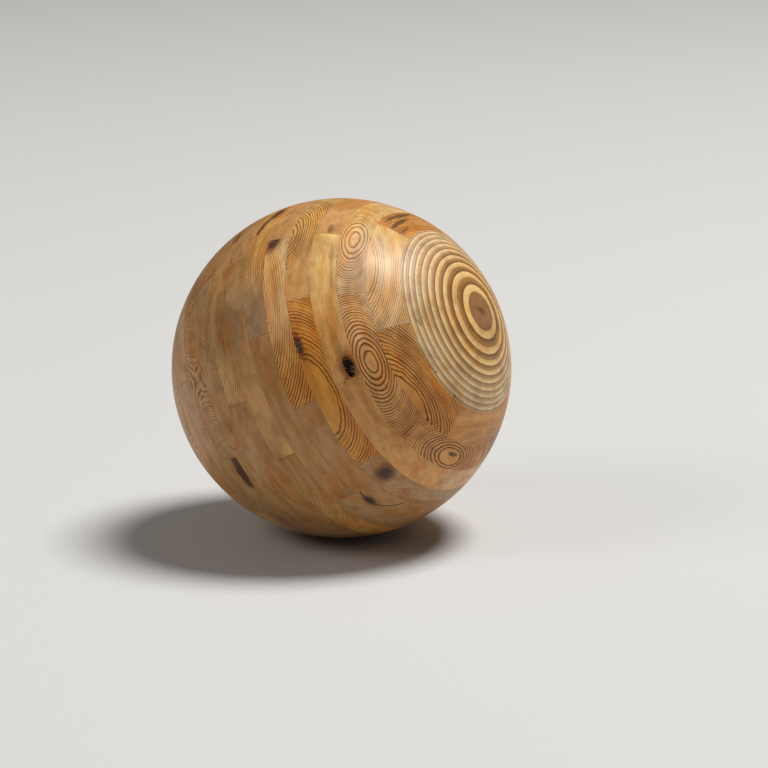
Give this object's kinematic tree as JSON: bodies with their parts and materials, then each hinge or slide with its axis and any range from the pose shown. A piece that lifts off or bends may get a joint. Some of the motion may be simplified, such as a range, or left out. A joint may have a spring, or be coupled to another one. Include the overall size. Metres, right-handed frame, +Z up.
{
  "type": "laminated wooden ball",
  "caption": "Large hollow wooden ball, glued up from stacked rings of pine boards between plywood caps and turned round; an ornament or display sphere.",
  "frame": {"origin": "centre of the ball", "axes": "+Z up as the ball lies in the picture, which looks along +Y; the axis of the stack leans 64.7 degrees from +Z towards +X and a little towards the viewer"},
  "size_m": [0.58, 0.58, 0.5799],
  "materials": {
    "pine": "clear varnish, satin to semi-gloss",
    "ply_long_grain": "clear varnish, satin to semi-gloss",
    "ply_cross_grain": "clear varnish, satin to semi-gloss"
  },
  "bodies": {
    "root": {"near_cap_cross_plies": "ply_cross_grain", "near_cap_long_plies": "ply_long_grain", "board_ring_01": "pine", "board_ring_02": "pine", "board_ring_03": "pine", "board_ring_04": "pine", "board_ring_05": "pine", "board_ring_06": "pine", "board_ring_07": "pine", "board_ring_08": "pine", "board_ring_09": "pine", "board_ring_10": "pine", "board_ring_11": "pine", "board_ring_12": "pine", "board_ring_13": "pine", "far_cap_long_plies": "ply_long_grain", "far_cap_cross_plies": "ply_cross_grain"}
  },
  "joints": []
}
